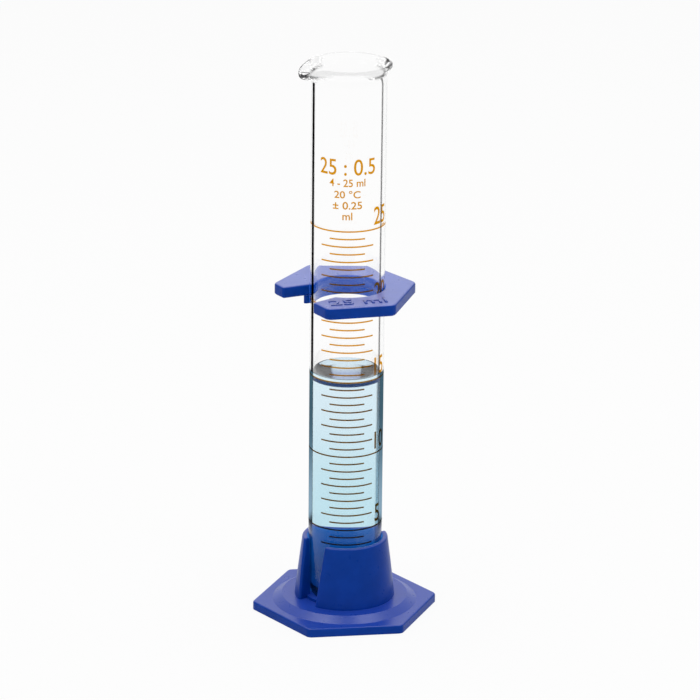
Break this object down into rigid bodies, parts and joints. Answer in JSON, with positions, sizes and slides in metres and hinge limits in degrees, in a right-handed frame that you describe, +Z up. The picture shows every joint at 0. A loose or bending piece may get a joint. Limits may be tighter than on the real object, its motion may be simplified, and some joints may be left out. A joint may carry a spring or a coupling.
{
  "type": "graduated cylinder",
  "caption": "Tall glass measuring cylinder with a pouring spout, a hexagonal plastic base and a sliding hexagonal guard ring, part filled with blue liquid.",
  "frame": {"origin": "centre of the base's underside, where it stands", "axes": "+Z up along the tube, the scale faces -Y, and the spout points to -X and a little to -Y"},
  "size_m": [0.0486, 0.0458, 0.1498],
  "materials": {
    "clear_glass": "polished",
    "blue_plastic": "gloss",
    "blue_liquid": "polished"
  },
  "bodies": {
    "cylinder": {"glass_tube": "clear_glass", "hex_base": "blue_plastic", "blue_liquid": "blue_liquid"},
    "guard": {"guard_ring": "blue_plastic"}
  },
  "joints": [
    {"name": "guard_slide", "type": "slide", "parent": "cylinder", "child": "guard", "axis": [0, 0, 1], "range_m": [-0.0641, 0.055]}
  ]
}
